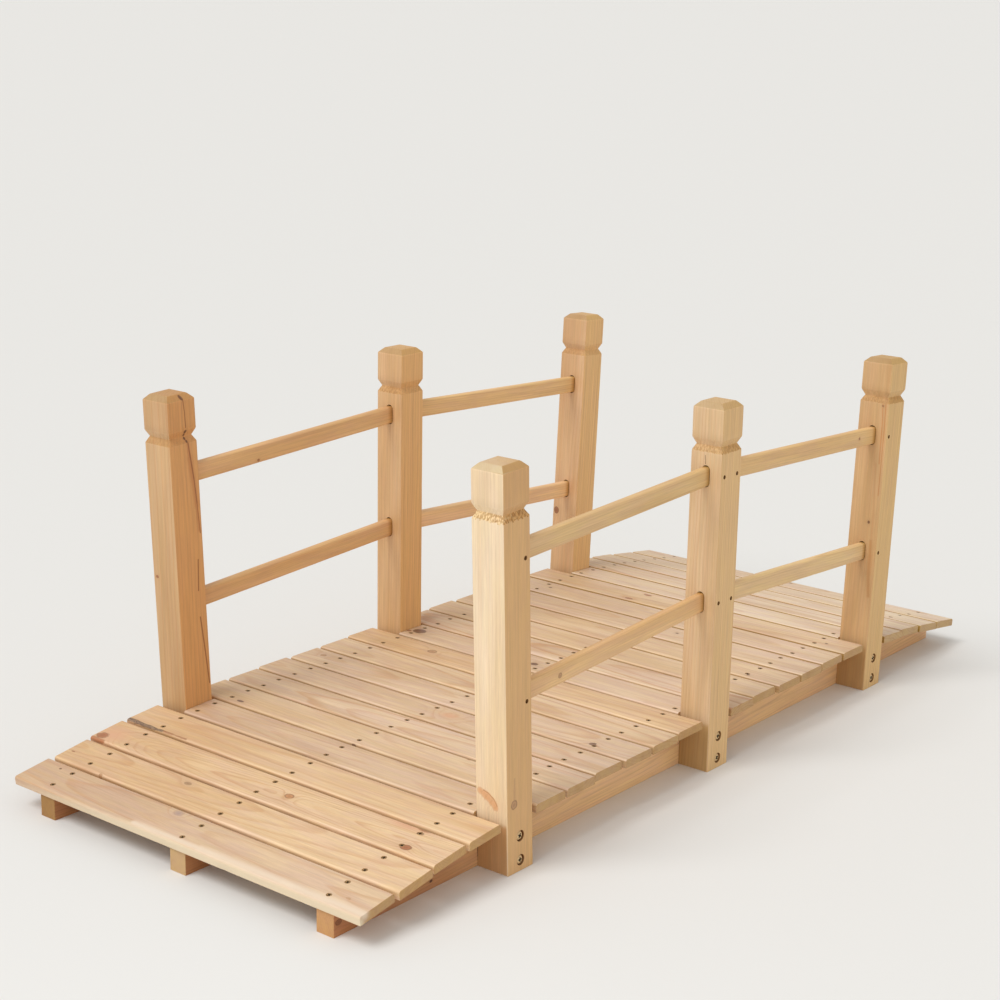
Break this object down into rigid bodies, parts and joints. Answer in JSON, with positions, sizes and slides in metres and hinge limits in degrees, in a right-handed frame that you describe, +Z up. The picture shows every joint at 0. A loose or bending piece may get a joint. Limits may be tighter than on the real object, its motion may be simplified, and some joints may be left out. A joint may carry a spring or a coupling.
{
  "type": "garden footbridge",
  "caption": "Low wooden garden footbridge: a plank deck with ramped ends on three stringers, grooved posts, and an upper and a lower rail along each side.",
  "frame": {"origin": "on the ground, under the middle of the deck, at the centre of the bridge's footprint", "axes": "+X along the bridge from the near ramp to the far ramp, +Y across it to the left side as one walks that way, +Z up"},
  "size_m": [1.4848, 0.636, 0.533],
  "materials": {
    "deck_wood": "planed, untreated",
    "stringer_wood": "sawn, untreated",
    "post_wood": "planed, untreated",
    "rail_wood": "planed, untreated",
    "screw_steel": "yellow zinc plated, for the screws, which are no nodes"
  },
  "bodies": {
    "root": {"plank_01": "deck_wood", "plank_02": "deck_wood", "plank_03": "deck_wood", "plank_04": "deck_wood", "plank_05": "deck_wood", "plank_06": "deck_wood", "plank_07": "deck_wood", "plank_08": "deck_wood", "plank_09": "deck_wood", "plank_10": "deck_wood", "plank_11": "deck_wood", "plank_12": "deck_wood", "plank_13": "deck_wood", "plank_14": "deck_wood", "plank_15": "deck_wood", "plank_16": "deck_wood", "plank_17": "deck_wood", "plank_18": "deck_wood", "plank_19": "deck_wood", "plank_20": "deck_wood", "plank_21": "deck_wood", "plank_22": "deck_wood", "plank_23": "deck_wood", "post_left_far": "post_wood", "post_left_middle": "post_wood", "post_left_near": "post_wood", "post_right_far": "post_wood", "post_right_middle": "post_wood", "post_right_near": "post_wood", "rail_left_lower_far": "rail_wood", "rail_left_lower_near": "rail_wood", "rail_left_upper_far": "rail_wood", "rail_left_upper_near": "rail_wood", "rail_right_lower_far": "rail_wood", "rail_right_lower_near": "rail_wood", "rail_right_upper_far": "rail_wood", "rail_right_upper_near": "rail_wood", "stringer_centre": "stringer_wood", "stringer_left": "stringer_wood", "stringer_right": "stringer_wood"}
  },
  "joints": []
}
